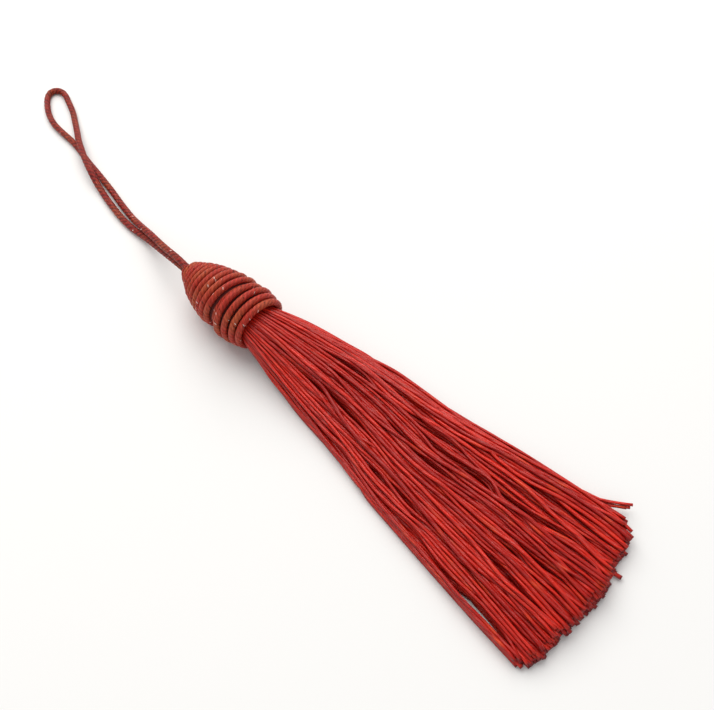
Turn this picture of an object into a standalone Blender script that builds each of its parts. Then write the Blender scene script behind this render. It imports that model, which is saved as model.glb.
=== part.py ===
"""Silk tassel lying on a flat surface, modelled in metres.

+X runs from the head towards the skirt's cut end, +Z is up, and z = 0 is the surface it lies on.
The origin is under the middle of the head and the skirt. The hanging loop lies beyond it on the -X side.
"""
import bmesh
import bpy
import numpy as np
from math import cos, pi, radians, sqrt
from mathutils import Matrix, Vector

MM = 0.001
WELD = 0.001 * MM

# The top of the head, which the other sizes are counted from, and the line of its axis.
TIP_X = -45.4 * MM
TIP_Y = -0.19 * MM
HEAD_AXIS_Y = TIP_Y + 0.25 * MM
HEAD_AXIS_Z = 5.7 * MM
SEAT_GAP = 0.3 * MM

# Wound head: distances run along its axis from the top.
HEAD_LENGTH = 19.3 * MM
FINE_TURN_PITCH = 1.2 * MM
FINE_TURN_HEIGHT = 0.22 * MM
FINE_TURNS_END = 11.4 * MM
THICK_TURN_PITCH = 1.65 * MM
THICK_TURN_HEIGHT = 0.5 * MM
HEAD_SIDES = 26
HEAD_RINGS = 62
HEAD_COLOUR = (0.38, 0.05, 0.035)
HEAD_ROUGHNESS = 0.5
# The crest line of the winding.
HEAD_PROFILE = (
    # along, radius (mm)
    (0.0, 1.6),
    (1.4, 2.5),
    (4.1, 3.95),
    (6.5, 4.9),
    (8.6, 5.4),
    (11.2, 5.85),
    (13.1, 6.07),
    (15.1, 5.98),
    (17.3, 5.65),
    (19.3, 5.15),
)
# The turns aren't square to the axis: they lean over, more and more towards the mouth.
HEAD_LEAN = (
    # along (mm), lean
    (8.0, 0.0),
    (13.0, -0.05),
    (16.0, 0.06),
    (19.3, 0.17),
)
LEAN_SIDE_Y = 0.92
LEAN_SIDE_Z = 0.4
BORE_RADIUS = 4.6 * MM
BORE_START = 13.2 * MM
BORE_SIDES = 28

# Skirt: the neck sits in the head's bore, and the strands fan out of it.
NECK_START = 13.6 * MM
NECK_END = 18.2 * MM
NECK_RADIUS = BORE_RADIUS - SEAT_GAP
ROOT_START = NECK_END - 0.8 * MM
ROOT_SPREAD = 3.95 * MM
ROOT_SIDE = 0.29 * MM
END_SIDE = 0.56 * MM
END_HALF_WIDTH = 15.2 * MM
ROW_COUNT = 6
ROW_PITCH = 0.78 * MM
ROWS_TO_NOTHING = 6.3
STRAND_PITCH = 0.75 * MM
PLACE_JITTER = 0.04 * MM
LAYOUT_SEED = 7
# A four-sided strand lies on a flat side once it is turned by an eighth; those higher up are turned more.
FLAT_TURN = pi / 4
STRAND_TURN = radians(20)
SKIRT_COLOUR = (0.5, 0.02, 0.02)
SKIRT_ROUGHNESS = 0.4
# The cut end is rounded at its corners, a little slanted and uneven.
CUT_ROUNDING = 3.4 * MM
CUT_ROUNDNESS = 2.5
CUT_SLANT = 0.8 * MM
CUT_UNEVEN = 1.5 * MM
# Sections across the skirt, from its root to the cut end.
SKIRT_SECTIONS = (
    # along, half width, middle y, lowest strands' height (mm), share of the way to the end's layers
    (20.4, 4.00, 0.30, 1.62, 0.0),
    (26.5, 6.60, 1.20, 0.80, 0.24),
    (40.0, 9.15, 1.75, 0.05, 0.72),
    (62.0, 12.20, 0.70, 0.0, 1.0),
    (90.8, 15.50, 0.20, 0.0, 1.0),
)

# Hanging loop: one cord folded in half. It leaves the head, goes round the eye and comes back. Each stretch
# lies on the other near the head, and the way back passes over the way out in a low hump below the eye.
CORD_DIAMETER = 1.35 * MM
CORD_SPAN_STEPS = 2
CORD_BEVEL_STEPS = 2
LOOP_COLOUR = (0.36, 0.05, 0.04)
LOOP_ROUGHNESS = 0.55
LOOP_ROUTE = (
    # x, y from the top of the head, z (mm)
    (-0.35, 0.40, 6.42),
    (-3.4, 0.80, 6.10),
    (-6.8, 1.25, 5.26),
    (-10.4, 1.90, 4.18),
    (-14.2, 2.65, 3.10),
    (-18.2, 3.30, 1.98),
    (-22.2, 4.10, 0.92),
    (-26.6, 5.05, 0.70),
    (-30.8, 6.08, 0.70),
    (-34.8, 6.95, 0.70),
    (-38.6, 7.70, 0.70),
    (-42.4, 8.42, 0.70),
    (-46.0, 9.35, 0.70),
    (-49.6, 9.95, 0.70),
    (-53.6, 10.25, 0.70),
    (-57.0, 10.75, 0.70),
    (-60.2, 11.90, 0.70),
    (-62.8, 13.40, 0.70),
    (-64.75, 14.90, 0.70),
    (-65.8, 16.50, 0.70),
    (-65.35, 17.85, 0.70),
    (-63.9, 18.40, 0.70),
    (-62.1, 18.05, 0.70),
    (-60.0, 17.20, 0.70),
    (-56.8, 15.85, 0.70),
    (-53.2, 13.85, 0.85),
    (-50.0, 12.05, 1.40),
    (-46.8, 10.25, 2.05),
    (-43.8, 8.80, 2.22),
    (-40.6, 7.35, 2.18),
    (-37.6, 6.20, 1.95),
    (-35.0, 5.35, 1.20),
    (-32.0, 4.55, 0.72),
    (-28.0, 3.55, 0.70),
    (-24.0, 2.75, 0.70),
    (-20.2, 2.35, 0.72),
    (-15.8, 2.25, 1.25),
    (-11.6, 1.75, 2.35),
    (-7.4, 1.15, 3.60),
    (-3.4, 0.65, 4.65),
    (-0.35, 0.35, 4.98),
)


def new_collection(name):
    collection = bpy.data.collections.new(name)
    bpy.context.scene.collection.children.link(collection)
    return collection


def new_material(name, colour, roughness):
    material = bpy.data.materials.new(name)
    material.use_nodes = True
    shader = material.node_tree.nodes["Principled BSDF"]
    shader.inputs["Base Color"].default_value = (*colour, 1.0)
    shader.inputs["Roughness"].default_value = roughness
    shader.inputs["Metallic"].default_value = 0.0
    return material


def new_object(name, mesh, collection):
    item = bpy.data.objects.new(name, mesh)
    collection.objects.link(item)
    return item


def as_guide(item):
    item.hide_render = True
    item.display_type = "WIRE"


def add_boolean(item, guide, operation):
    cut = item.modifiers.new(operation.title(), "BOOLEAN")
    cut.operation = operation
    cut.object = guide


def add_bar(name, radius, start, end, collection):
    """A round bar along the head's axis, between two distances from its top."""
    bm = bmesh.new()
    bmesh.ops.create_cone(bm, cap_ends=True, segments=BORE_SIDES, radius1=radius, radius2=radius,
                          depth=end - start)
    bmesh.ops.rotate(bm, verts=bm.verts, matrix=Matrix.Rotation(pi / 2, 3, "Y"))
    mesh = bpy.data.meshes.new(name)
    bm.to_mesh(mesh)
    bm.free()
    item = new_object(name, mesh, collection)
    item.location = (TIP_X + (start + end) / 2, HEAD_AXIS_Y, HEAD_AXIS_Z)
    as_guide(item)
    return item


def curve_to_mesh(item, collection):
    """The curve's evaluated tube as a mesh object with its caps welded on."""
    bpy.context.view_layer.update()
    evaluated = item.evaluated_get(bpy.context.evaluated_depsgraph_get())
    mesh = bpy.data.meshes.new_from_object(evaluated)
    bm = bmesh.new()
    bm.from_mesh(mesh)
    bmesh.ops.remove_doubles(bm, verts=bm.verts, dist=WELD)
    bm.to_mesh(mesh)
    bm.free()
    name = item.name
    solid = new_object(name + "_mesh", mesh, collection)
    solid.matrix_world = item.matrix_world
    bpy.data.objects.remove(item)
    solid.name = name
    return solid


def smooth_route(points, steps):
    """Points on a smooth curve through the route's own points, with this many steps in each span."""
    ends = [2 * points[0] - points[1]] + points + [2 * points[-1] - points[-2]]
    route = []
    for before, start, stop, after in zip(ends, ends[1:], ends[2:], ends[3:]):
        for step in range(steps):
            t = step / steps
            pull = (2 * before - 5 * start + 4 * stop - after) * t
            turn = (3 * start - before - 3 * stop + after) * t * t
            route.append(start + 0.5 * t * (stop - before + pull + turn))
    return route + [points[-1]]


def build_loop(collection):
    tip = Vector((TIP_X, TIP_Y, 0))
    points = [tip + Vector(row) * MM for row in LOOP_ROUTE]
    route = smooth_route(points, CORD_SPAN_STEPS)
    curve = bpy.data.curves.new("hanging_loop", "CURVE")
    curve.dimensions = "3D"
    curve.bevel_depth = CORD_DIAMETER / 2
    curve.bevel_resolution = CORD_BEVEL_STEPS
    curve.use_fill_caps = True
    spline = curve.splines.new("POLY")
    spline.points.add(len(route) - 1)
    for point, place in zip(spline.points, route):
        point.co = (*place, 1)
    curve.materials.append(new_material("loop_cord", LOOP_COLOUR, LOOP_ROUGHNESS))
    new_object("hanging_loop", curve, collection)


def winding_crest(along, turn_angle):
    """How far up the ridge of its turn a point is, from 0 in the groove to 1 on the crest."""
    fine_turns = min(along, FINE_TURNS_END) / FINE_TURN_PITCH
    thick_turns = max(along - FINE_TURNS_END, 0) / THICK_TURN_PITCH
    return 0.5 + 0.5 * cos(2 * pi * (fine_turns + thick_turns) - turn_angle)


def build_head(collection, guides):
    along_mm, radius_mm = np.transpose(HEAD_PROFILE)
    lean_at_mm, lean_value = np.transpose(HEAD_LEAN)
    bm = bmesh.new()
    bmesh.ops.create_uvsphere(bm, u_segments=HEAD_SIDES, v_segments=HEAD_RINGS, radius=1)
    for vert in bm.verts:
        ring = round(vert.co.angle(Vector((0, 0, 1)), 0) / pi * HEAD_RINGS)
        along = HEAD_LENGTH * min(max((ring - 1) / (HEAD_RINGS - 2), 0), 1)
        thick = np.interp(along, (FINE_TURNS_END - THICK_TURN_PITCH, FINE_TURNS_END), (0, 1))
        ridge = FINE_TURN_HEIGHT + (THICK_TURN_HEIGHT - FINE_TURN_HEIGHT) * thick
        side = Vector((vert.co.x, vert.co.y))
        on_axis = ring in (0, HEAD_RINGS)
        side = Vector((0, 0)) if on_axis else side.normalized()
        turn_angle = 0 if on_axis else side.angle_signed(Vector((1, 0)))
        radius = np.interp(along / MM, along_mm, radius_mm) * MM
        radius -= ridge * (1 - winding_crest(along, turn_angle))
        side *= radius
        lean = np.interp(along / MM, lean_at_mm, lean_value)
        shift = lean * (LEAN_SIDE_Y * side.x + LEAN_SIDE_Z * side.y)
        vert.co = (along + shift, side.x, side.y)
    bmesh.ops.recalc_face_normals(bm, faces=bm.faces)
    mesh = bpy.data.meshes.new("head_winding")
    bm.to_mesh(mesh)
    bm.free()
    mesh.shade_smooth()
    head = new_object("head_winding", mesh, collection)
    head.location = (TIP_X, HEAD_AXIS_Y, HEAD_AXIS_Z)
    mesh.materials.append(new_material("head_cord", HEAD_COLOUR, HEAD_ROUGHNESS))
    bore = add_bar("head_bore", BORE_RADIUS, BORE_START, HEAD_LENGTH + BORE_RADIUS, guides)
    add_boolean(head, bore, "DIFFERENCE")
    floor_mesh = bpy.data.meshes.new("floor_cut")
    bm = bmesh.new()
    bmesh.ops.create_cube(bm, size=2 * HEAD_LENGTH)
    bm.to_mesh(floor_mesh)
    bm.free()
    floor = new_object("floor_cut", floor_mesh, guides)
    floor.location = (TIP_X + HEAD_LENGTH / 2, HEAD_AXIS_Y, -HEAD_LENGTH)
    as_guide(floor)
    add_boolean(head, floor, "DIFFERENCE")


def end_layout(rng):
    """Strand places across the cut end, in level rows on the surface: y from the skirt's middle, and z."""
    places = []
    for row in range(ROW_COUNT):
        reach = END_HALF_WIDTH * sqrt(1 - (row / ROWS_TO_NOTHING) ** 2)
        for y in np.linspace(-reach, reach, int(2 * reach / STRAND_PITCH)):
            raised = row * ROW_PITCH + (rng.uniform(-PLACE_JITTER, PLACE_JITTER) if row else 0)
            places.append((y + rng.uniform(-PLACE_JITTER, PLACE_JITTER), END_SIDE / 2 + raised))
    return np.array(places)


def root_layout(count):
    """As many places on a honeycomb that fills the round neck: y and z from its axis."""
    row_step = sqrt(3) / 2
    pitch = ROOT_SPREAD * sqrt(pi / (row_step * count))
    steps = range(-int(sqrt(count)), int(sqrt(count)) + 1)
    grid = np.array([((i + 0.5 * (j % 2)) * pitch, j * row_step * pitch) for i in steps for j in steps])
    nearest = np.argsort(np.hypot(*grid.T), kind="stable")
    return grid[nearest[:count]]


def untangle(roots, ends):
    """The ends in the order of the roots, swapped until no two strands would cross on their way."""
    roots = roots[np.lexsort((roots[:, 1], roots[:, 0]))]
    ends = ends[np.lexsort((ends[:, 1], ends[:, 0]))]
    crossed = True
    while crossed:
        crossed = False
        for i in range(len(roots)):
            order = ((roots - roots[i]) * (ends - ends[i])).sum(axis=1)
            worst = int(order.argmin())
            if order[worst] < -WELD ** 2:
                ends[[i, worst]] = ends[[worst, i]]
                crossed = True
    return roots, ends


def build_skirt(collection, guides):
    rng = np.random.default_rng(LAYOUT_SEED)
    ends = end_layout(rng)
    roots, ends = untangle(root_layout(len(ends)), ends)
    root_lift = HEAD_AXIS_Z - ROOT_SPREAD - ROOT_SIDE / 2
    sections = [(ROOT_START, ROOT_SPREAD, HEAD_AXIS_Y - TIP_Y, root_lift, 0.0)]
    sections += [(*(value * MM for value in row[:4]), row[4]) for row in SKIRT_SECTIONS]
    end_along, end_half_width = sections[-1][:2]
    curve = bpy.data.curves.new("skirt_strands", "CURVE")
    curve.dimensions = "3D"
    curve.bevel_depth = END_SIDE / sqrt(2)
    curve.bevel_resolution = 0
    curve.use_fill_caps = True
    curve.twist_mode = "Z_UP"
    for (root_y, root_z), (end_y, end_z) in zip(roots, ends):
        on_floor = end_z == END_SIDE / 2
        turn = FLAT_TURN + (0 if on_floor else rng.uniform(-STRAND_TURN, STRAND_TURN))
        across = end_y / END_HALF_WIDTH
        short = CUT_ROUNDING * abs(across) ** CUT_ROUNDNESS + CUT_SLANT * across
        short += rng.uniform(0, CUT_UNEVEN)
        spline = curve.splines.new("POLY")
        spline.points.add(len(sections) - 1)
        for point, (along, half_width, middle, lowest, layered) in zip(spline.points, sections):
            spread = (half_width - ROOT_SPREAD) / (end_half_width - ROOT_SPREAD)
            side = ROOT_SIDE + (END_SIDE - ROOT_SIDE) * spread
            x = along - (short if along == end_along else 0)
            y = middle + (1 - spread) * root_y + spread * end_y
            z = (1 - layered) * (root_z + ROOT_SPREAD) + layered * (end_z - END_SIDE / 2)
            point.co = (TIP_X + x, TIP_Y + y, lowest + side / 2 + z, 1)
            point.radius = side / END_SIDE
            point.tilt = turn
    strands = curve_to_mesh(new_object("skirt_strands", curve, collection), collection)
    strands.data.materials.append(new_material("skirt_silk", SKIRT_COLOUR, SKIRT_ROUGHNESS))
    neck = add_bar("skirt_neck", NECK_RADIUS, NECK_START, NECK_END, guides)
    add_boolean(strands, neck, "UNION")


for old in list(bpy.data.objects):
    bpy.data.objects.remove(old)
tassel = new_collection("silk_tassel")
guides = new_collection("guides")
build_loop(tassel)
build_head(tassel, guides)
build_skirt(tassel, guides)
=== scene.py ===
"""Silk tassel on a pale floor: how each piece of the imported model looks. Metres, +Z up.

+X runs from the wound head to the skirt's cut end. Sizes in the tables are in millimetres.
"""

from math import pi, radians, tau

import bmesh
import bpy
import numpy as np
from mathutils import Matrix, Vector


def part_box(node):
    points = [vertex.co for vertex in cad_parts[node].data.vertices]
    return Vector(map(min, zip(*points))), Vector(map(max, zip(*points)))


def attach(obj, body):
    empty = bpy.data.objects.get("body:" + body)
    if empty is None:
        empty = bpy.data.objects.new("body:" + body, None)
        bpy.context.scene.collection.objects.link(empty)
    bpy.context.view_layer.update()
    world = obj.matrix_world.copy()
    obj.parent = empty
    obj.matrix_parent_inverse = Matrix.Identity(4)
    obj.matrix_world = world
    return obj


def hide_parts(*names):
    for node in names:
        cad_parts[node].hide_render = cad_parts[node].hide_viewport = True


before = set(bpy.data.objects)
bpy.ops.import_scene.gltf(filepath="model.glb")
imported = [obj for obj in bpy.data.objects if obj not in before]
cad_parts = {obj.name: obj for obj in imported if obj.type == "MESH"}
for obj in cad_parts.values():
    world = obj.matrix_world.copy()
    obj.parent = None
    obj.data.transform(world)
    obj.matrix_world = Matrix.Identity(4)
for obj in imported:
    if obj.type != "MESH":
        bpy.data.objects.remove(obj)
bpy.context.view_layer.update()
MM = 0.001

# The view. A camera on the near side of the skirt's cut end looks down across the tassel at about 56 degrees.
# Its place is counted from the top of the head, where the winding starts.
HEAD_TOP_Y = -0.19
HEAD_TOP = np.array((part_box("head_winding")[0][0], HEAD_TOP_Y * MM, 0.0))
VIEW_PLACE = np.array((88.70, -51.93, 124.94)) * MM
VIEW_TURN = (33.6, 0.0, 41.8)
VIEW_FOCAL_SHARE = 1.1642
SENSOR_WIDTH = 36.0
NEAREST_SEEN = 0.01


def place_object(name, data):
    """A new object with this mesh, camera or light, in the scene."""
    item = bpy.data.objects.new(name, data)
    bpy.context.scene.collection.objects.link(item)
    return item


lens = bpy.data.cameras.new("view")
lens.sensor_fit = "HORIZONTAL"
lens.sensor_width = SENSOR_WIDTH
lens.lens = SENSOR_WIDTH * VIEW_FOCAL_SHARE
lens.clip_start = NEAREST_SEEN
camera = place_object("view", lens)
camera.location = HEAD_TOP + VIEW_PLACE
camera.rotation_euler = [radians(turn) for turn in VIEW_TURN]
bpy.context.scene.camera = camera

# Hanging loop. One thin three-ply silk cord with a fine metal thread laid in its groove, folded in half.
# It runs out of the top of the head, round the eye and back, and its two ends are bound in by the winding.
CORD_DIAMETER = 1.35
PLY_COUNT = 3
PLY_OFFSET_SHARE = 0.19
CORD_LAY = 3.4
RINGS_A_LAY = 14
SIDES_A_PLY = 6
ROUTE_STEPS = 6
METAL_THREAD_RADIUS = 0.085
METAL_THREAD_SUNK = 0.02
METAL_THREAD_SIDES = 5
LOOP_START_INSIDE = (1.3, 0.30, 6.45)
LOOP_END_INSIDE = (1.3, 0.30, 5.05)
LOOP_ROUTE = (
    # x, y from the top of the head, z
    (-0.35, 0.40, 6.42),
    (-3.4, 0.80, 6.10),
    (-6.8, 1.25, 5.26),
    (-10.4, 1.90, 4.18),
    (-14.2, 2.65, 3.10),
    (-18.2, 3.30, 1.98),
    (-22.2, 4.10, 0.92),
    (-26.6, 5.05, 0.70),
    (-30.8, 6.08, 0.70),
    (-34.8, 6.95, 0.70),
    (-38.6, 7.70, 0.70),
    (-42.4, 8.42, 0.70),
    (-46.0, 9.35, 0.70),
    (-49.6, 9.95, 0.70),
    (-53.6, 10.25, 0.70),
    (-57.0, 10.75, 0.70),
    (-60.2, 11.90, 0.70),
    (-62.8, 13.40, 0.70),
    (-64.75, 14.90, 0.70),
    (-65.8, 16.50, 0.70),
    (-65.35, 17.85, 0.70),
    (-63.9, 18.40, 0.70),
    (-62.1, 18.05, 0.70),
    (-60.0, 17.20, 0.70),
    (-56.8, 15.85, 0.70),
    (-53.2, 13.85, 0.85),
    (-50.0, 12.05, 1.40),
    (-46.8, 10.25, 2.05),
    (-43.8, 8.80, 2.22),
    (-40.6, 7.35, 2.18),
    (-37.6, 6.20, 1.95),
    (-35.0, 5.35, 1.20),
    (-32.0, 4.55, 0.72),
    (-28.0, 3.55, 0.70),
    (-24.0, 2.75, 0.70),
    (-20.2, 2.35, 0.72),
    (-15.8, 2.25, 1.25),
    (-11.6, 1.75, 2.35),
    (-7.4, 1.15, 3.60),
    (-3.4, 0.65, 4.65),
    (-0.35, 0.35, 4.98),
)
CORD_RED = (0.34, 0.015, 0.009, 1.0)
CORD_BRICK = (0.38, 0.050, 0.015, 1.0)
# Painted shade for the grooves between the loop cord's plies; its darker fibres take this colour too.
CORD_GROOVE_SHADE_AND_DARK_FIBRE = (0.06, 0.002, 0.001, 1.0)
CORD_PLY_SHADE = 0.65
CORD_FIBRE_COUNT = 5.0
CORD_FIBRE_SHADE = 0.5
CORD_STREAK = 0.55
CORD_ROUGHNESS = (0.55, 0.36)
CORD_SPECULAR = 0.25
CORD_GRAIN_STRENGTH = 0.7
CORD_GRAIN_DEPTH = 0.00008
CORD_FLECKS = 0.5
FLECK_COLOUR = (0.80, 0.15, 0.08, 1.0)
METAL_THREAD_COLOUR = (0.40, 0.045, 0.022, 1.0)
METAL_THREAD_DARK = (0.05, 0.014, 0.005, 1.0)
METAL_THREAD_ROUGHNESS = 0.4
# Painted glints: near-white colour for spots on the cords and on the metal thread.
PAINTED_GLINT_COLOUR = (1.0, 0.85, 0.78, 1.0)
GLINT_METALLIC = 0.6
GLINTS_A_MM = 1.3
PAINTED_GLINT_CELL = 1.7
PAINTED_GLINT_RADIUS = 0.16
PAINTED_GLINT_CLEAR_SHARE = 0.6
CORD_PAINTED_GLINTS = 0.08
# The plies of a cord are shaped in its mesh and its UV map turns with them, so its pattern takes no lay.
NO_LAY = 1e6
# Where a noise or a share starts to show, and where it shows in full.
FIBRE_RANGE = (0.3, 0.7)
BRICK_RANGE = (0.42, 0.66)
CORD_GROOVE_RANGE = (0.35, 1.0)
CORD_FIBRE_DARK_TO = 0.6
FLECK_RANGE = (0.62, 0.70)
PAINTED_GLINT_RANGE = (0.67, 0.70)
FOIL_RANGE = (0.42, 0.50)
# A pattern starts this many lengths further on from one tube to the next, so that no two are alike.
TUBE_SHIFT = 3
BLOTCHES_A_MM = 0.16
MERGE_DISTANCE = 1e-7
UP = np.array((0.0, 0.0, 1.0))


def smooth_route(points, steps):
    """Points on a smooth curve through the route's own points, with this many steps in each span."""
    ends = np.concatenate(([2 * points[0] - points[1]], points, [2 * points[-1] - points[-2]]))
    t = (np.arange(steps) / steps)[:, None]
    spans = []
    for before, start, stop, after in zip(ends, ends[1:], ends[2:], ends[3:]):
        pull = (2 * before - 5 * start + 4 * stop - after) * t
        turn = (3 * start - before - 3 * stop + after) * t * t
        spans.append(start + 0.5 * t * (stop - before + pull + turn))
    return np.concatenate(spans + [points[-1:]])


def along_line(line):
    """How far along a line each of its points is."""
    return np.concatenate(([0.0], np.cumsum(np.linalg.norm(np.diff(line, axis=0), axis=1))))


def points_at(wanted, along, line):
    """The line's values at the wanted places, from those at its own places along."""
    return np.stack([np.interp(wanted, along, line[:, axis]) for axis in range(3)], axis=1)


def even_line(line, count):
    """The line again, as this many points an even distance apart."""
    along = along_line(line)
    return points_at(np.linspace(0, along[-1], count), along, line)


def unit(vectors):
    """The same directions, each of length 1."""
    return vectors / np.linalg.norm(vectors, axis=-1, keepdims=True)


def line_frames(lines, outward):
    """Square to each line at each of its points: the side that looks outward, and the side next to it."""
    tangent = unit(np.gradient(lines, axis=-2))
    beside = unit(np.cross(tangent, np.broadcast_to(outward, lines.shape)))
    return np.cross(beside, tangent), beside


def ply_section(count, offset):
    """A cord's section: how far out each side is, as a share of its radius, round plies pressed together."""
    angle = tau * np.arange(count * SIDES_A_PLY) / (count * SIDES_A_PLY)
    off_crest = (angle + pi / count) % (tau / count) - pi / count
    ply_radius = 1 - offset
    return offset * np.cos(off_crest) + np.sqrt(ply_radius ** 2 - (offset * np.sin(off_crest)) ** 2)


def roll_tubes(name, lines, radii, outward, section, turns=0.0, tones=0.0):
    """One mesh of closed tubes along lines in mm, rolled from sheets.

    lines is (tubes, rings, 3), radii and turns (tubes, rings), and tones one number a tube. The UV map runs
    in mm along a tube and from 0 to 1 round it. A point's to_end is how many mm of its tube are left.
    """
    tubes, rings = lines.shape[:2]
    sides = len(section)
    sheet = bmesh.new()
    sheet.loops.layers.uv.new("UVMap")
    bmesh.ops.create_grid(sheet, x_segments=rings - 1, y_segments=sides, size=0.5, calc_uvs=True)
    places = np.array([vert.co for vert in sheet.verts])
    ring = np.rint((places[:, 0] + 0.5) * (rings - 1)).astype(int)
    side = np.rint((places[:, 1] + 0.5) * sides).astype(int)
    sheet_mesh = bpy.data.meshes.new("sheet")
    sheet.to_mesh(sheet_mesh)
    sheet.free()
    bundle = bmesh.new()
    for _ in range(tubes):
        bundle.from_mesh(sheet_mesh)
    mesh = bpy.data.meshes.new(name)
    bundle.to_mesh(mesh)
    bundle.free()
    bpy.data.meshes.remove(sheet_mesh)

    out, beside = line_frames(lines, outward)
    turned = np.broadcast_to(turns, (tubes, rings))
    angle = (tau * side / sides)[None, :] + turned[:, ring]
    reach = radii[:, ring] * section[side % sides][None, :]
    outwards = np.cos(angle)[..., None] * out[:, ring] + np.sin(angle)[..., None] * beside[:, ring]
    places = (lines[:, ring] + reach[..., None] * outwards) * MM
    mesh.vertices.foreach_set("co", places.astype(np.float32).ravel())
    tone = np.repeat(np.broadcast_to(tones, tubes), len(ring))
    lengths = np.array([along_line(line)[-1] for line in lines])
    to_end = lengths[:, None] * (1 - ring / (rings - 1))[None, :]
    for key, values in (("tone", tone), ("to_end", to_end)):
        layer = mesh.attributes.new(key, "FLOAT", "POINT")
        layer.data.foreach_set("value", values.astype(np.float32).ravel())
    uv = np.empty(2 * len(mesh.loops), np.float32)
    mesh.uv_layers[0].data.foreach_get("uv", uv)
    uv = uv.reshape(tubes, -1, 2)
    uv[..., 0] = (uv[..., 0] + TUBE_SHIFT * np.arange(tubes)[:, None]) * lengths[:, None]
    mesh.uv_layers[0].data.foreach_set("uv", uv.ravel())

    closed = bmesh.new()
    closed.from_mesh(mesh)
    bmesh.ops.remove_doubles(closed, verts=closed.verts, dist=MERGE_DISTANCE)
    rims = [edge for edge in closed.edges if edge.is_boundary]
    bmesh.ops.holes_fill(closed, edges=rims, sides=0)
    bmesh.ops.recalc_face_normals(closed, faces=closed.faces)
    for face in closed.faces:
        face.smooth = len(face.verts) == 4
    closed.to_mesh(mesh)
    closed.free()
    return place_object(name, mesh)


def add_node(tree, kind, inputs=None, **settings):
    """A node with its settings, whose inputs are linked from a socket or set to a value."""
    node = tree.nodes.new(kind)
    for key, value in settings.items():
        setattr(node, key, value)
    for key, value in (inputs or {}).items():
        if isinstance(value, bpy.types.NodeSocket):
            tree.links.new(value, node.inputs[key])
        else:
            node.inputs[key].default_value = value
    return node


def calc(tree, operation, *values):
    """What one Math node puts out."""
    return add_node(tree, "ShaderNodeMath", dict(enumerate(values)), operation=operation).outputs[0]


def uv_parts(tree):
    """The two numbers of a piece's UV map: mm along, and the share of a turn round."""
    uv = add_node(tree, "ShaderNodeUVMap", uv_map="UVMap").outputs[0]
    split = add_node(tree, "ShaderNodeSeparateXYZ", {0: uv}).outputs
    return split[0], split[1]


def in_range(tree, value, low, high, to_low=0.0, to_high=1.0):
    """A value spread from one range to another, smoothly, and held at its ends."""
    inputs = {"Value": value, "From Min": low, "From Max": high, "To Min": to_low, "To Max": to_high}
    return add_node(tree, "ShaderNodeMapRange", inputs, interpolation_type="SMOOTHSTEP").outputs[0]


def mixed(tree, share, first, second):
    """Two colours mixed by a share."""
    node = add_node(tree, "ShaderNodeMix", data_type="RGBA")
    for socket, value in zip((node.inputs[0], node.inputs[6], node.inputs[7]), (share, first, second)):
        if isinstance(value, bpy.types.NodeSocket):
            tree.links.new(value, socket)
        else:
            socket.default_value = value
    return node.outputs[2]


def make_yarn_group():
    """Twisted yarn by its UV map: ply is 0 in a groove and 1 on a crest, fibre is fine and blotch is slow."""
    group = bpy.data.node_groups.new("twisted_yarn", "ShaderNodeTree")
    for name in ("Plies", "Lay", "Fibre Lay", "Fibre Count", "Streak"):
        group.interface.new_socket(name, in_out="INPUT", socket_type="NodeSocketFloat")
    for name in ("Ply", "Fibre", "Blotch"):
        group.interface.new_socket(name, in_out="OUTPUT", socket_type="NodeSocketFloat")
    given = group.nodes.new("NodeGroupInput").outputs
    result = group.nodes.new("NodeGroupOutput").inputs
    along, around = uv_parts(group)

    wound = calc(group, "ADD", around, calc(group, "DIVIDE", along, given["Lay"]))
    saw = calc(group, "PINGPONG", calc(group, "MULTIPLY", wound, given["Plies"]), 0.5)
    off_crest = calc(group, "SUBTRACT", 1.0, calc(group, "MULTIPLY", saw, 2.0))
    round_off = calc(group, "SUBTRACT", 1.0, calc(group, "MULTIPLY", off_crest, off_crest))
    group.links.new(round_off, result["Ply"])

    fibre_turn = calc(group, "ADD", around, calc(group, "DIVIDE", along, given["Fibre Lay"]))
    fibre_angle = calc(group, "MULTIPLY", fibre_turn, tau)
    fibre_place = add_node(group, "ShaderNodeCombineXYZ", {
        0: calc(group, "MULTIPLY", calc(group, "COSINE", fibre_angle), given["Fibre Count"]),
        1: calc(group, "MULTIPLY", calc(group, "SINE", fibre_angle), given["Fibre Count"]),
        2: calc(group, "MULTIPLY", along, given["Streak"]),
    }).outputs[0]
    fibre = add_node(group, "ShaderNodeTexNoise", {"Vector": fibre_place, "Scale": 1.0, "Detail": 2.0})
    group.links.new(fibre.outputs[0], result["Fibre"])
    blotch_place = add_node(group, "ShaderNodeCombineXYZ", {0: calc(group, "MULTIPLY", along, BLOTCHES_A_MM)})
    blotch = add_node(group, "ShaderNodeTexNoise", {"Vector": blotch_place.outputs[0], "Scale": 1.0})
    group.links.new(blotch.outputs[0], result["Blotch"])
    return group


yarn_group = make_yarn_group()


def new_material(name):
    """A new material, its node tree and its shader."""
    material = bpy.data.materials.new(name)
    material.use_nodes = True
    return material, material.node_tree, material.node_tree.nodes["Principled BSDF"]


def painted_glint_spots(tree, share):
    """Small round spots scattered over a cord, painted glints of the foil: 1 on a spot."""
    along, around = uv_parts(tree)
    place = add_node(tree, "ShaderNodeCombineXYZ", {
        0: along, 1: calc(tree, "MULTIPLY", around, pi * CORD_DIAMETER)}).outputs[0]
    spots = add_node(tree, "ShaderNodeTexVoronoi", {"Vector": place, "Scale": 1 / PAINTED_GLINT_CELL},
                     voronoi_dimensions="2D").outputs
    draw = add_node(tree, "ShaderNodeSeparateColor", {0: spots["Color"]}).outputs[0]
    reach = PAINTED_GLINT_RADIUS / PAINTED_GLINT_CELL
    near = in_range(tree, spots["Distance"], PAINTED_GLINT_CLEAR_SHARE * reach, reach, 1.0, 0.0)
    return calc(tree, "MULTIPLY", near, in_range(tree, draw, 1 - share, 1.01 - share))


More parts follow.
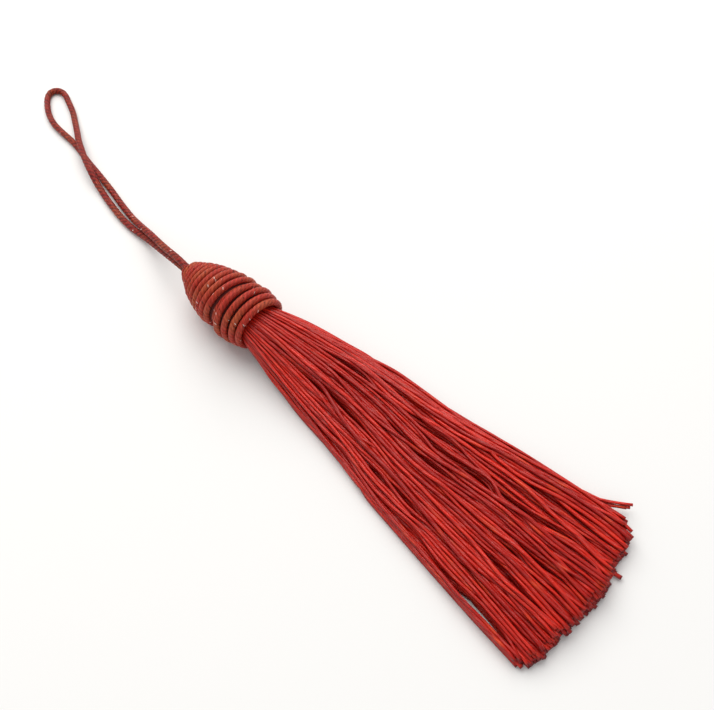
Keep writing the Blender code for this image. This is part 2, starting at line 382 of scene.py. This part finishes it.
def make_cord_material(name, red, brick, groove, ply_shade, flecks, sparks):
    """Dyed silk cord: red plies with brick stretches, painted shade in the grooves, a fine grain, pale flecks
    and painted glints.
    """
    material, tree, shader = new_material(name)
    yarn = add_node(tree, "ShaderNodeGroup", {
        "Plies": PLY_COUNT, "Lay": NO_LAY, "Fibre Lay": -CORD_LAY, "Fibre Count": CORD_FIBRE_COUNT,
        "Streak": CORD_STREAK}, node_tree=yarn_group).outputs
    body = mixed(tree, in_range(tree, yarn["Blotch"], *BRICK_RANGE), red, brick)
    fibre = in_range(tree, yarn["Fibre"], *FIBRE_RANGE)
    # Painted shade: the colour darkens into the grooves between the plies.
    shade = mixed(tree, in_range(tree, yarn["Ply"], *CORD_GROOVE_RANGE, 0.0, ply_shade), body, groove)
    fibre_shade = in_range(tree, fibre, 0.0, CORD_FIBRE_DARK_TO, CORD_FIBRE_SHADE, 0.0)
    shade = mixed(tree, fibre_shade, shade, groove)
    colour = mixed(tree, in_range(tree, yarn["Fibre"], *FLECK_RANGE, 0.0, flecks), shade, FLECK_COLOUR)
    # Painted glints: near-white spots stand for light caught by the foil.
    colour = mixed(tree, painted_glint_spots(tree, sparks), colour, PAINTED_GLINT_COLOUR)
    tree.links.new(colour, shader.inputs["Base Color"])
    tree.links.new(in_range(tree, fibre, 0.0, 1.0, *CORD_ROUGHNESS), shader.inputs["Roughness"])
    bump = add_node(tree, "ShaderNodeBump", {
        "Strength": CORD_GRAIN_STRENGTH, "Distance": CORD_GRAIN_DEPTH, "Height": fibre})
    tree.links.new(bump.outputs[0], shader.inputs["Normal"])
    shader.inputs["Specular IOR Level"].default_value = CORD_SPECULAR
    return material


def make_metal_thread_material():
    """Thin foil spun round a thread: dull red to dark brown, with a small painted glint here and there,
    near-white and not metallic.
    """
    material, tree, shader = new_material("metal_thread")
    along = uv_parts(tree)[0]
    spot = add_node(tree, "ShaderNodeCombineXYZ", {0: calc(tree, "MULTIPLY", along, GLINTS_A_MM)})
    foil = add_node(tree, "ShaderNodeTexNoise", {"Vector": spot.outputs[0], "Scale": 1.0}).outputs[0]
    # Painted glints: short stretches of the thread turn near-white and lose their metal.
    glint = in_range(tree, foil, *PAINTED_GLINT_RANGE)
    dull = mixed(tree, in_range(tree, foil, *FOIL_RANGE), METAL_THREAD_DARK, METAL_THREAD_COLOUR)
    tree.links.new(mixed(tree, glint, dull, PAINTED_GLINT_COLOUR), shader.inputs["Base Color"])
    tree.links.new(in_range(tree, glint, 0.0, 1.0, GLINT_METALLIC, 0.0), shader.inputs["Metallic"])
    shader.inputs["Roughness"].default_value = METAL_THREAD_ROUGHNESS
    return material


metal_thread = make_metal_thread_material()


def lay_cord(name, line, radius, outward, material, lay, ply_offset):
    """A three-ply cord along an even line, and its metal thread in the groove, as two pieces."""
    turns = -tau * along_line(line) / lay
    section = ply_section(PLY_COUNT, ply_offset)
    cord = roll_tubes(name, line[None], radius[None], outward, section, turns[None])
    cord.data.materials.append(material)
    out, beside = line_frames(line[None], outward)
    groove = (turns + pi / PLY_COUNT)[None, :, None]
    reach = (radius * section.min() - METAL_THREAD_SUNK)[None, :, None]
    away = np.cos(groove) * out + np.sin(groove) * beside
    thread_line = line[None] + reach * away
    thread_radius = np.full(thread_line.shape[:2], METAL_THREAD_RADIUS)
    round_section = np.ones(METAL_THREAD_SIDES)
    thread = roll_tubes(name + "_metal_thread", thread_line, thread_radius, away, round_section)
    thread.data.materials.append(metal_thread)
    return cord, thread


head_top_mm = HEAD_TOP / MM
loop_points = np.array((LOOP_START_INSIDE, *LOOP_ROUTE, LOOP_END_INSIDE)) + head_top_mm
loop_line = smooth_route(loop_points, ROUTE_STEPS)
loop_length = along_line(loop_line)[-1]
loop_line = even_line(loop_line, int(loop_length / CORD_LAY * RINGS_A_LAY))
loop_material = make_cord_material("loop_cord_silk", CORD_RED, CORD_BRICK, CORD_GROOVE_SHADE_AND_DARK_FIBRE, CORD_PLY_SHADE,
                                   CORD_FLECKS, CORD_PAINTED_GLINTS)
loop_radius = np.full(len(loop_line), CORD_DIAMETER / 2)
loop_cord, loop_thread = lay_cord("loop_cord", loop_line, loop_radius, UP, loop_material, CORD_LAY,
                                  PLY_OFFSET_SHARE)
for piece in (loop_cord, loop_thread):
    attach(piece, "root")
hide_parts("hanging_loop")

# Head winding. The same cord wound round the bound neck of the strands: fine tight turns from the top down,
# one turn that has sunk in, and four thick open turns that lean over at the mouth.
HEAD_AXIS = np.array((0.45, 5.7))
HEAD_TURNS = (
    # turn, along, cord diameter, how far sunk in
    (0.0, 0.35, 0.75, 0.0),
    (2.0, 2.05, 0.88, 0.0),
    (5.0, 4.85, 0.94, 0.0),
    (6.0, 6.00, 1.04, 0.0),
    (8.0, 8.50, 1.12, 0.0),
    (9.0, 9.90, 1.15, 0.0),
    (10.0, 11.40, 1.15, 0.0),
    (10.7, 12.40, 1.10, 1.05),
    (11.3, 12.90, 1.10, 1.05),
    (12.0, 13.90, 1.20, 0.0),
    (13.0, 15.70, 1.20, 0.0),
    (14.0, 17.25, 1.22, 0.0),
    (15.0, 18.65, 1.25, 0.0),
    (15.62, 18.95, 1.15, 0.40),
)
HEAD_PROFILE = (
    # along, radius over the crests
    (0.0, 1.6),
    (1.4, 2.5),
    (4.1, 3.95),
    (6.5, 4.9),
    (8.6, 5.4),
    (11.2, 5.85),
    (13.1, 6.07),
    (15.1, 6.02),
    (17.3, 5.72),
    (19.3, 5.25),
)
HEAD_LEAN = (
    # along, lean
    (2.0, 0.0),
    (5.0, 0.10),
    (9.0, 0.13),
    (11.4, 0.24),
    (13.9, 0.12),
    (19.3, 0.12),
)
LEAN_SIDE = np.array((0.92, 0.4))
TURN_START = radians(110)
WINDING_STEPS = 4000
WANDER_ALONG = 0.10
WANDERS_ALONG_A_TURN = 3
WANDER_OUT = 0.06
WANDERS_OUT_A_TURN = 4
CORE_DEPTH = 1.15
CORE_START = 0.4
CORE_END = 16.5
CORE_RINGS = 24
CORE_SIDES = 48
HEAD_LAY = 2.5
HEAD_PLY_OFFSET = 0.10
HEAD_RING_STEP = 0.2
HEAD_SEED = 3
HEAD_RED = (0.56, 0.040, 0.024, 1.0)
HEAD_BRICK = (0.56, 0.105, 0.038, 1.0)
# Painted shade for the grooves between the head cord's plies; its darker fibres take this colour too.
HEAD_GROOVE_SHADE_AND_DARK_FIBRE = (0.16, 0.010, 0.004, 1.0)
HEAD_FLECKS = 0.5
HEAD_PAINTED_GLINTS = 0.22
HEAD_PLY_SHADE = 0.4
# The core's dark reds are painted shade, for the deep gaps between the turns of the winding.
CORE_PAINTED_SHADE = (0.16, 0.008, 0.004, 1.0)
CORE_PAINTED_SHADE_DARK = (0.06, 0.003, 0.0015, 1.0)
CORE_ROUGHNESS = 0.7
CORE_THREAD_SCALE = 900.0
CORE_THREAD_UNEVEN = 1.5
CORE_THREAD_DEPTH = 0.0001


def eased(share):
    """A share from 0 to 1 that starts and ends gently."""
    return share * share * (3 - 2 * share)


def slow_noise(rng, count, step):
    """Numbers from -1 to 1 that change slowly, with a new one every so many points."""
    knots = rng.uniform(-1, 1, int(count / step) + 3)
    place = np.arange(count) / step
    before = place.astype(int)
    share = eased(place - before)
    return knots[before] * (1 - share) + knots[before + 1] * share


def head_winding_line():
    """The wound cord's middle line in mm, its radius, and the way outwards from the head's axis."""
    rng = np.random.default_rng(HEAD_SEED)
    turn_at, along_at, size_at, sunk_at = np.transpose(HEAD_TURNS)
    turn = np.linspace(0, turn_at[-1], WINDING_STEPS)
    steps_a_turn = WINDING_STEPS / turn_at[-1]
    along = np.interp(turn, turn_at, along_at)
    size = np.interp(turn, turn_at, size_at)
    along = along + WANDER_ALONG * slow_noise(rng, WINDING_STEPS, steps_a_turn / WANDERS_ALONG_A_TURN)
    out = np.interp(along, *np.transpose(HEAD_PROFILE)) - size / 2 - np.interp(turn, turn_at, sunk_at)
    out = out + WANDER_OUT * slow_noise(rng, WINDING_STEPS, steps_a_turn / WANDERS_OUT_A_TURN)
    angle = TURN_START + tau * turn
    off_axis = np.stack((np.cos(angle), np.sin(angle)), axis=1)
    across = out[:, None] * off_axis
    lean = np.interp(along, *np.transpose(HEAD_LEAN))
    line = np.column_stack((along + lean * (across @ LEAN_SIDE), across + HEAD_AXIS)) + head_top_mm
    line[:, 2] = np.maximum(line[:, 2], size / 2)
    at = along_line(line)
    count = int(at[-1] / HEAD_RING_STEP)
    wanted = np.linspace(0, at[-1], count)
    outward = points_at(wanted, at, np.column_stack((np.zeros(WINDING_STEPS), off_axis)))
    return even_line(line, count), np.interp(wanted, at, size) / 2, outward


def build_core(name):
    """The bound neck under the winding, a turned egg shape."""
    profile_along, profile_radius = np.transpose(HEAD_PROFILE)
    bm = bmesh.new()
    steps = np.linspace(CORE_START, CORE_END, CORE_RINGS)
    reach = np.interp(steps, profile_along, profile_radius) - CORE_DEPTH
    points = [(steps[0], 0.0), *zip(steps, reach), (steps[-1], 0.0)]
    verts = [bm.verts.new((x * MM, r * MM, 0)) for x, r in points]
    edges = [bm.edges.new(pair) for pair in zip(verts, verts[1:])]
    bmesh.ops.spin(bm, geom=verts + edges, cent=(0, 0, 0), axis=(1, 0, 0), angle=tau, steps=CORE_SIDES,
                   use_merge=True)
    bmesh.ops.remove_doubles(bm, verts=bm.verts, dist=MERGE_DISTANCE)
    bmesh.ops.recalc_face_normals(bm, faces=bm.faces)
    bmesh.ops.translate(bm, verts=bm.verts, vec=HEAD_TOP + (0, *(HEAD_AXIS * MM)))
    for face in bm.faces:
        face.smooth = True
    mesh = bpy.data.meshes.new(name)
    bm.to_mesh(mesh)
    bm.free()
    return place_object(name, mesh)


def make_core_shade_material():
    """Fine binding thread, wound close, in dark red: painted shade for the deep gaps between the turns."""
    material, tree, shader = new_material("head_core_thread_painted_shade")
    place = add_node(tree, "ShaderNodeTexCoord").outputs["Object"]
    wave = add_node(tree, "ShaderNodeTexWave", {
        "Vector": place, "Scale": CORE_THREAD_SCALE, "Distortion": CORE_THREAD_UNEVEN}).outputs[1]
    tree.links.new(mixed(tree, wave, CORE_PAINTED_SHADE, CORE_PAINTED_SHADE_DARK), shader.inputs["Base Color"])
    shader.inputs["Roughness"].default_value = CORE_ROUGHNESS
    bump = add_node(tree, "ShaderNodeBump", {"Distance": CORE_THREAD_DEPTH, "Height": wave})
    tree.links.new(bump.outputs[0], shader.inputs["Normal"])
    return material


winding_line, winding_radius, winding_out = head_winding_line()
head_material = make_cord_material("head_cord_silk", HEAD_RED, HEAD_BRICK, HEAD_GROOVE_SHADE_AND_DARK_FIBRE, HEAD_PLY_SHADE,
                                   HEAD_FLECKS, HEAD_PAINTED_GLINTS)
head_cord, head_thread = lay_cord("head_cord", winding_line, winding_radius, winding_out, head_material,
                                  HEAD_LAY, HEAD_PLY_OFFSET)
head_core = build_core("head_core")
head_core.data.materials.append(make_core_shade_material())
for piece in (head_cord, head_thread, head_core):
    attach(piece, "root")
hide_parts("head_winding")

# Skirt. Nearly 300 silk strands, folded over and bound inside the head's mouth, where they are squeezed.
# They swell and fan out past it in locks that part and cross, lie on the floor and on each other, and are
# cut across at the end.
STRAND_COUNT = 286
STRAND_RADIUS = 0.315
STRAND_SIZES = (0.76, 1.18)
STRAND_RINGS = 62
STRAND_SIDES = 8
SKIRT_START = 17.0
SKIRT_LENGTH = 91.0
FAN_LENGTH = 22.0
SKIRT_SECTIONS = (
    # along, half width, middle y, height of the top strands, height of the lowest, squeeze
    (17.0, 3.75, 0.25, 9.45, 1.95, 0.62),
    (19.0, 4.05, 0.30, 9.80, 1.60, 0.66),
    (20.4, 5.00, 0.75, 10.10, 1.20, 0.74),
    (24.0, 6.10, 1.42, 9.50, 0.70, 0.86),
    (30.0, 7.25, 1.70, 7.90, 0.20, 0.95),
    (36.0, 8.70, 2.15, 6.75, 0.00, 1.00),
    (42.0, 9.30, 1.85, 6.00, 0.00, 1.00),
    (54.0, 11.05, 0.78, 5.20, 0.00, 1.00),
    (66.0, 12.88, 0.62, 4.70, 0.00, 1.00),
    (78.0, 14.28, 0.12, 4.30, 0.00, 1.00),
    (86.0, 14.95, -0.25, 3.90, 0.00, 1.00),
    (91.0, 15.60, -0.55, 3.20, 0.00, 1.00),
)
ROOT_JITTER = 0.01
HEAP_ROUNDNESS = 0.97
HEAP_STEPS = 400
LEAST_COLUMN = 0.02
# Locks of strands draw together past their start, over a stretch, and let go again before the cut end.
LOCK_COUNT = 34
LOCK_JITTER = 0.05
LOCK_PULL = 0.65
LOCK_START = 26.0
LOCK_STRETCH = 20.0
LOCK_END = 96.0
LOCK_END_STRETCH = 16.0
LOCK_LEAST = 0.35
# Strands wander, and drift away from their lock on both sides of this place along.
WANDER_ACROSS = 0.085
WANDER_STEP = 11
LOCK_WANDER_SHARE = 0.5
LOCK_DRIFT = 0.09
STRAND_DRIFT = 0.06
DRIFT_MIDDLE = 58.0
DRIFT_STRETCH = 33.0
SETTLE_ROUNDS = 70
PUSH_SHARE = 0.36
LET_DOWN = 0.05
GUIDE_PULL = 0.06
LATE_FROM = 0.9
LATE_SMOOTHING = 0.7
LEAST_DISTANCE = 1e-6
PARTING_SHARE = 0.3
PARTING_POINT = 1.5
SKIRT_PARTINGS = (
    # from along, y, to along, y, half width, height above which it parts the strands
    (30.0, 3.2, 41.0, 5.6, 0.28, 3.2),
    (31.0, -1.9, 37.0, -1.5, 0.30, 3.2),
    (33.5, -0.8, 49.0, -2.5, 0.42, 2.4),
    (40.0, -6.8, 48.0, -7.2, 0.35, 1.8),
    (48.0, -5.8, 56.5, -7.1, 0.45, 1.6),
    (50.0, 3.8, 60.0, 6.0, 0.40, 2.4),
    (52.0, -0.2, 65.0, 0.2, 0.55, 1.9),
    (54.0, -5.8, 63.0, -7.8, 0.40, 1.8),
    (57.0, 2.0, 69.0, 4.6, 0.40, 2.2),
    (57.5, -9.2, 67.0, -10.4, 0.40, 1.3),
    (69.0, 2.3, 83.0, 6.1, 0.50, 1.7),
    (71.0, -5.1, 84.5, -7.2, 0.80, 1.3),
    (72.5, -2.4, 80.0, -2.7, 0.40, 1.8),
    (76.0, 2.7, 88.0, 4.3, 0.45, 1.7),
    (76.5, -2.1, 86.0, -0.6, 0.40, 1.6),
    (69.0, -12.05, 84.5, -13.10, 0.62, 0.0),
)
STRAYS = (
    # along where the strand strays from the rest, along at its tip, y and z of its tip
    (81.0, 85.9, 16.7, 2.1),
    (81.0, 85.8, 16.25, 1.6),
    (81.4, 85.4, 15.85, 1.7),
    (82.0, 90.9, 6.0, 0.6),
)
STRAY_PAST_TIP = 1.2
STRAY_CURVE = 1.2
CUT_LINE = (
    # y, how far along the lowest strands reach there
    (-16.0, 87.0),
    (-14.0, 88.6),
    (-12.0, 89.2),
    (-8.0, 89.6),
    (-6.0, 90.2),
    (-2.0, 90.5),
    (2.0, 90.9),
    (5.0, 90.2),
    (8.0, 89.7),
    (10.0, 89.7),
    (12.0, 89.1),
    (13.0, 87.7),
    (14.0, 88.2),
    (14.6, 86.0),
    (15.2, 84.8),
)
CUT_UNEVEN = 1.1
CUT_LAYERED = 0.8
SKIRT_SEED = 11
SILK_BRIGHT = (0.75, 0.026, 0.012, 1.0)
SILK_DEEP = (0.36, 0.003, 0.001, 1.0)
SILK_ORANGE = (0.75, 0.064, 0.013, 1.0)
# Painted shade for the strands' ply grooves; their darker streaks take this colour too.
SILK_GROOVE_SHADE_AND_DARK_STREAK = (0.22, 0.001, 0.001, 1.0)
# Painted shade on each strand's sides, where it meets the next strand.
SILK_CREVICE_PAINTED_SHADE = (0.15, 0.0, 0.0, 1.0)
# The cut tips' own darker colour, which near the floor is also painted shade.
TIP_DARK_AND_SHADE_COLOUR = (0.15, 0.005, 0.010, 1.0)
STRAND_TONES = (0.1, 1.0)
SILK_PLIES = 2.0
SILK_LAY = 7.0
SILK_FIBRE_LAY = 16.0
SILK_FIBRE_COUNT = 1.6
SILK_STREAK = 0.12
SILK_ROUGHNESS = (0.44, 0.24)
SILK_SPECULAR = 0.4
SILK_GRAIN_STRENGTH = 0.6
SILK_GRAIN_DEPTH = 0.00006
# Each look's two places or levels, from and to, and how much of it there is at each.
PAINTED_LIGHT_AT_HEAD_END = (48.0, 68.0, 0.0, 0.25)
CAST_RANGE = (0.54, 0.68)
CAST_TOWARDS_END = (4.0, 45.0, 1.0, 0.35)
ORANGE_CAST = 0.7
PLY_SHADE = (0.0, 0.7, 0.45, 0.0)
STREAK_SHADE = (0.0, 0.55, 0.5, 0.0)
CREVICE_SHADE = (0.13, 0.27, 0.0, 0.75)
TIP_LENGTH = (0.05, 0.45, 1.0, 0.0)
TIP_SHADE_BY_HEIGHT = (1.2 * MM, 2.6 * MM, 0.85, 0.05)


def disc_places(count):
    """Places spread evenly over a round disc of radius 1, on a honeycomb."""
    pitch = np.sqrt(pi / (np.sqrt(3) / 2 * count))
    steps = np.arange(-int(np.sqrt(count)), int(np.sqrt(count)) + 1)
    i, j = [grid.ravel() for grid in np.meshgrid(steps, steps)]
    places = np.stack(((i + 0.5 * (j % 2)) * pitch, np.sqrt(3) / 2 * j * pitch), axis=1)
    return places[np.argsort(np.hypot(*places.T), kind="stable")[:count]]


def heap_places(places):
    """The same places moved into the heap's section: flat below, from -1 to 1 across and 0 to 1 high."""
    across, height = places.T
    rank = np.argsort(np.argsort(across + 0.05 * height, kind="stable"), kind="stable")
    share = np.linspace(-1, 1, HEAP_STEPS)
    room = np.cumsum(np.sqrt(1 - HEAP_ROUNDNESS * share ** 2))
    across = np.interp((rank + 0.5) / len(rank), room / room[-1], share)
    top = np.sqrt(1 - HEAP_ROUNDNESS * across ** 2)
    column = np.sqrt(np.maximum(1 - places[:, 0] ** 2, LEAST_COLUMN))
    level = np.clip(0.5 + 0.5 * height / column, 0, 1)
    return across, level * top


def open_partings(places, radii, along):
    """Moves the strands that lie over a parting out to its sides, each one to the side it is mostly on."""
    for start, start_y, stop, stop_y, half_width, lowest in SKIRT_PARTINGS:
        share = (along - start) / (stop - start)
        rings = (share > 0) & (share < 1)
        lens = np.sin(pi * share[rings]) ** PARTING_POINT
        off = places[:, rings, 0] - start_y - share[rings] * (stop_y - start_y)
        side = np.where(off @ lens < 0, -1.0, 1.0)[:, None]
        over = places[:, rings, 1] @ lens > lowest * lens.sum()
        room = half_width * lens + radii[:, rings] * lens
        moved = np.clip(room - side * off, 0, 2 * half_width)
        places[:, rings, 0] += PARTING_SHARE * side * over[:, None] * moved


def settle(places, radii, guides, low, high, along):
    """Pushes strands apart in each section across the skirt, lets them down, and keeps each one smooth."""
    count = places.shape[0]
    apart = (radii[:, None] + radii[None, :]).transpose(2, 0, 1)
    own = np.eye(count, dtype=bool)[None]
    for cycle in range(SETTLE_ROUNDS):
        late = cycle / (SETTLE_ROUNDS - 1)
        across, height = places[..., 0].T, places[..., 1].T
        gap_across = across[:, :, None] - across[:, None, :]
        gap_height = height[:, :, None] - height[:, None, :]
        distance = np.sqrt(gap_across ** 2 + gap_height ** 2) + LEAST_DISTANCE
        push = np.clip(apart - distance, 0, None) / distance
        push[np.broadcast_to(own, push.shape)] = 0
        places[..., 0] += PUSH_SHARE * (push * gap_across).sum(axis=2).T
        places[..., 1] += PUSH_SHARE * (push * gap_height).sum(axis=2).T
        places[:, 1:, 1] -= LET_DOWN * (1 - late)
        places += GUIDE_PULL * (1 - late) * (guides - places)
        open_partings(places, radii, along)
        inner = 0.25 * (places[:, :-2] + places[:, 2:] - 2 * places[:, 1:-1])
        places[:, 1:-1] += (1.0 if late < LATE_FROM else LATE_SMOOTHING) * inner
        places[..., 0] = np.clip(places[..., 0], low + radii, high - radii)
        places[..., 1] = np.maximum(places[..., 1], radii)
        places[:, 0] = guides[:, 0]
    return places


def skirt_lines():
    """Each strand's middle line in mm and its radius, laid from the mouth to the cut end."""
    rng = np.random.default_rng(SKIRT_SEED)
    table = np.transpose(SKIRT_SECTIONS)
    along = np.linspace(SKIRT_START, SKIRT_LENGTH, STRAND_RINGS)
    half, middle, top, low, squeeze = [np.interp(along, table[0], row) for row in table[1:]]
    root = disc_places(STRAND_COUNT) + rng.normal(0, ROOT_JITTER, (STRAND_COUNT, 2))
    across_end, height_end = heap_places(root)
    fanned = eased(np.clip((along - SKIRT_START) / FAN_LENGTH, 0, 1))
    lock_at = np.sort(rng.uniform(-1, 1, LOCK_COUNT))
    looks_from = across_end[:, None] + rng.normal(0, LOCK_JITTER, (STRAND_COUNT, 1))
    nearest = np.abs(looks_from - lock_at[None]).argmin(1)
    across = (1 - fanned) * root[:, :1] + fanned * across_end[:, None]
    locked = np.clip((along - LOCK_START) / LOCK_STRETCH, 0, 1)
    locked = locked * np.clip((LOCK_END - along) / LOCK_END_STRETCH, LOCK_LEAST, 1)
    across += LOCK_PULL * locked * (lock_at[nearest] - across_end)[:, None]
    lock_wander = np.stack([slow_noise(rng, STRAND_RINGS, WANDER_STEP) for _ in lock_at])
    own_wander = np.stack([slow_noise(rng, STRAND_RINGS, WANDER_STEP) for _ in range(STRAND_COUNT)])
    across += WANDER_ACROSS * fanned * (LOCK_WANDER_SHARE * lock_wander[nearest] + own_wander)
    drift = LOCK_DRIFT * rng.uniform(-1, 1, LOCK_COUNT)[nearest]
    drift = drift + STRAND_DRIFT * rng.normal(0, 1, STRAND_COUNT)
    across += drift[:, None] * (along - DRIFT_MIDDLE) / DRIFT_STRETCH * fanned
    level = (1 - fanned) * (0.5 + 0.5 * root[:, 1:]) + fanned * height_end[:, None]
    radii = STRAND_RADIUS * rng.uniform(*STRAND_SIZES, STRAND_COUNT)[:, None] * squeeze
    height = low + radii + level * (top - low - 2 * radii)
    guides = np.stack((middle + (half - radii) * across, height), axis=2)
    settled = settle(guides.copy(), radii, guides, (middle - half)[None], (middle + half)[None], along)
    short = SKIRT_LENGTH - np.interp(settled[:, -1, 0], *np.transpose(CUT_LINE))
    short += rng.uniform(0, CUT_UNEVEN, STRAND_COUNT) + CUT_LAYERED * settled[:, -1, 1] / top[-1]
    taken = []
    for leaves, tip, tip_y, tip_z in STRAYS:
        at_tip = settled[:, np.searchsorted(along, tip) - 1]
        off = np.hypot(at_tip[:, 0] - tip_y, at_tip[:, 1] - tip_z)
        off[taken] = np.inf
        stray = off.argmin()
        taken.append(stray)
        pull = np.clip((along - leaves) / (tip - leaves), 0, STRAY_PAST_TIP) ** STRAY_CURVE
        settled[stray] += pull[:, None] * ((tip_y, tip_z) - at_tip[stray])
        short[stray] = SKIRT_LENGTH - tip
    lines = np.empty((STRAND_COUNT, STRAND_RINGS, 3))
    for strand in range(STRAND_COUNT):
        line = np.column_stack((along, settled[strand]))
        kept = np.linspace(along[0], along[-1] - short[strand], STRAND_RINGS)
        lines[strand] = points_at(kept, along, line)
    return lines + head_top_mm, radii, rng


def make_silk_material():
    """Glossy dyed silk strands, each its own red, with soft plies that have painted shade in their grooves,
    and an orange cast in places.

    Painted shade darkens each strand's sides, where it meets the next strand. The cut tips are a little darker
    of their own, and much darker near the floor, where that is painted shade. Painted light makes the strands
    lighter towards the head end.
    """
    material, tree, shader = new_material("skirt_strand_silk")
    yarn = add_node(tree, "ShaderNodeGroup", {
        "Plies": SILK_PLIES, "Lay": SILK_LAY, "Fibre Lay": SILK_FIBRE_LAY, "Fibre Count": SILK_FIBRE_COUNT,
        "Streak": SILK_STREAK}, node_tree=yarn_group).outputs
    tone = add_node(tree, "ShaderNodeAttribute", attribute_name="tone").outputs["Fac"]
    to_end = add_node(tree, "ShaderNodeAttribute", attribute_name="to_end").outputs["Fac"]
    # Painted light: the strands are lighter towards the head end.
    tone = calc(tree, "ADD", tone, in_range(tree, to_end, *PAINTED_LIGHT_AT_HEAD_END))
    body = mixed(tree, tone, SILK_DEEP, SILK_BRIGHT)
    near_end = in_range(tree, to_end, *CAST_TOWARDS_END)
    cast = calc(tree, "MULTIPLY", in_range(tree, yarn["Blotch"], *CAST_RANGE), near_end)
    body = mixed(tree, calc(tree, "MULTIPLY", cast, ORANGE_CAST), body, SILK_ORANGE)
    fibre = in_range(tree, yarn["Fibre"], *FIBRE_RANGE)
    # Painted shade in the ply grooves.
    body = mixed(tree, in_range(tree, yarn["Ply"], *PLY_SHADE), body, SILK_GROOVE_SHADE_AND_DARK_STREAK)
    body = mixed(tree, in_range(tree, fibre, *STREAK_SHADE), body, SILK_GROOVE_SHADE_AND_DARK_STREAK)
    # Painted shade on each strand's sides, down from its top, where it meets the next strand.
    off_top = calc(tree, "PINGPONG", uv_parts(tree)[1], 0.5)
    body = mixed(tree, in_range(tree, off_top, *CREVICE_SHADE), body, SILK_CREVICE_PAINTED_SHADE)
    place = add_node(tree, "ShaderNodeTexCoord").outputs["Object"]
    height = add_node(tree, "ShaderNodeSeparateXYZ", {0: place}).outputs[2]
    # The cut tips: a little darker of their own, and much darker near the floor with painted shade.
    near_tip = in_range(tree, to_end, *TIP_LENGTH)
    tip = calc(tree, "MULTIPLY", near_tip, in_range(tree, height, *TIP_SHADE_BY_HEIGHT))
    tree.links.new(mixed(tree, tip, body, TIP_DARK_AND_SHADE_COLOUR), shader.inputs["Base Color"])
    tree.links.new(in_range(tree, fibre, 0.0, 1.0, *SILK_ROUGHNESS), shader.inputs["Roughness"])
    bump = add_node(tree, "ShaderNodeBump", {
        "Strength": SILK_GRAIN_STRENGTH, "Distance": SILK_GRAIN_DEPTH,
        "Height": calc(tree, "ADD", yarn["Ply"], fibre)})
    tree.links.new(bump.outputs[0], shader.inputs["Normal"])
    shader.inputs["Specular IOR Level"].default_value = SILK_SPECULAR
    return material


strand_lines, strand_radii, skirt_rng = skirt_lines()
strand_tones = skirt_rng.uniform(*STRAND_TONES, STRAND_COUNT)
silk = make_silk_material()
by_height = np.argsort(strand_lines[..., 2].mean(axis=1), kind="stable")
for layer, kept in (("lower", by_height[:STRAND_COUNT // 2]), ("upper", by_height[STRAND_COUNT // 2:])):
    strands = roll_tubes(f"skirt_{layer}_strands", strand_lines[kept], strand_radii[kept], UP,
                         np.ones(STRAND_SIDES), tones=strand_tones[kept])
    strands.data.materials.append(silk)
    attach(strands, "root")
    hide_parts("skirt_strands")

# Floor and light. A plain pale floor that the tassel lies on, a broad soft light from behind and above, a weak
# one from the camera's side, and pale light all round.
FLOOR_SIZE = 3.0
FLOOR_COLOUR = (0.88, 0.885, 0.885, 1.0)
FLOOR_ROUGHNESS = 0.9
FLOOR_SPECULAR = 0.1
LIGHT_COLOUR = (1.0, 0.97, 0.93)
KEY_PLACE = (-0.36, 0.22, 0.57)
KEY_SIZE = 0.80
KEY_POWER = 5.8
FILL_PLACE = (0.35, -0.35, 0.55)
FILL_SIZE = 0.5
FILL_POWER = 0.3
SKY_COLOUR = (1.0, 1.0, 1.0, 1.0)
SKY_STRENGTH = 0.46


def add_light(name, place, size, power):
    """A square area light that looks at the tassel."""
    light = bpy.data.lights.new(name, "AREA")
    light.size = size
    light.energy = power
    light.color = LIGHT_COLOUR
    item = place_object(name, light)
    item.location = place
    x, y, z = place
    item.rotation_euler = (np.arctan2(np.hypot(x, y), z), 0, np.arctan2(x, -y))


floor_bm = bmesh.new()
bmesh.ops.create_grid(floor_bm, x_segments=1, y_segments=1, size=FLOOR_SIZE / 2)
floor_mesh = bpy.data.meshes.new("floor")
floor_bm.to_mesh(floor_mesh)
floor_bm.free()
floor = place_object("floor", floor_mesh)
floor_material, _, floor_shader = new_material("floor_paint")
floor_shader.inputs["Base Color"].default_value = FLOOR_COLOUR
floor_shader.inputs["Roughness"].default_value = FLOOR_ROUGHNESS
floor_shader.inputs["Specular IOR Level"].default_value = FLOOR_SPECULAR
floor_mesh.materials.append(floor_material)
add_light("key_light", KEY_PLACE, KEY_SIZE, KEY_POWER)
add_light("fill_light", FILL_PLACE, FILL_SIZE, FILL_POWER)
world = bpy.data.worlds.new("sky")
world.use_nodes = True
sky = world.node_tree.nodes["Background"].inputs
sky["Color"].default_value = SKY_COLOUR
sky["Strength"].default_value = SKY_STRENGTH
bpy.context.scene.world = world
bpy.context.scene.view_settings.view_transform = "Standard"
